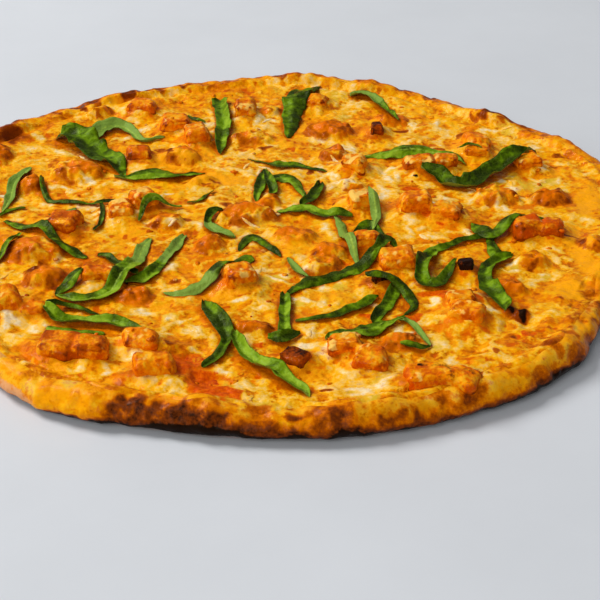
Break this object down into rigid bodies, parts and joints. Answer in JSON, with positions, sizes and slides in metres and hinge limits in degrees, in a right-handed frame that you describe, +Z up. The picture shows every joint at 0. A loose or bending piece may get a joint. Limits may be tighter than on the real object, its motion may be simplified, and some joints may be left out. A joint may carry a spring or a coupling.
{
  "type": "chicken alla vodka pizza",
  "caption": "Round thin-crust pizza with a low blistered rim, vodka sauce under baked cheese, diced chicken and shreds of fresh basil.",
  "frame": {"origin": "middle of the flat underside, on the surface that the pizza lies on", "axes": "+Z up, away from the underside; -Y towards the viewer of the picture, +X to the viewer's right"},
  "size_m": [0.3131, 0.306, 0.0193],
  "materials": {
    "crust": "baked dough, golden with dark blisters, dry and matt",
    "sauce": "thick cooked tomato and cream sauce, moist and glossy",
    "cheese": "melted cheese, golden with cream strands and brown spots, oily gloss",
    "chicken": "diced roast chicken in orange sauce, browned edges, half gloss",
    "basil": "fresh shredded leaf, dark green with a soft sheen"
  },
  "bodies": {
    "root": {"crust": "crust", "vodka_sauce": "sauce", "cheese": "cheese", "chicken_01": "chicken", "chicken_02": "chicken", "chicken_03": "chicken", "chicken_04": "chicken", "chicken_05": "chicken", "chicken_06": "chicken", "chicken_07": "chicken", "chicken_08": "chicken", "chicken_09": "chicken", "chicken_10": "chicken", "chicken_11": "chicken", "chicken_12": "chicken", "chicken_13": "chicken", "chicken_14": "chicken", "chicken_15": "chicken", "chicken_16": "chicken", "chicken_17": "chicken", "chicken_18": "chicken", "chicken_19": "chicken", "chicken_20": "chicken", "chicken_21": "chicken", "chicken_22": "chicken", "chicken_23": "chicken", "chicken_24": "chicken", "chicken_25": "chicken", "chicken_26": "chicken", "chicken_27": "chicken", "chicken_28": "chicken", "chicken_29": "chicken", "chicken_30": "chicken", "chicken_31": "chicken", "basil_01": "basil", "basil_02": "basil", "basil_03": "basil", "basil_04": "basil", "basil_05": "basil", "basil_06": "basil", "basil_07": "basil", "basil_08": "basil", "basil_09": "basil", "basil_10": "basil", "basil_11": "basil", "basil_12": "basil", "basil_13": "basil", "basil_14": "basil", "basil_15": "basil", "basil_16": "basil", "basil_17": "basil", "basil_18": "basil", "basil_19": "basil", "basil_20": "basil", "basil_21": "basil", "basil_22": "basil", "basil_23": "basil", "basil_24": "basil", "basil_25": "basil", "basil_26": "basil"}
  },
  "joints": []
}
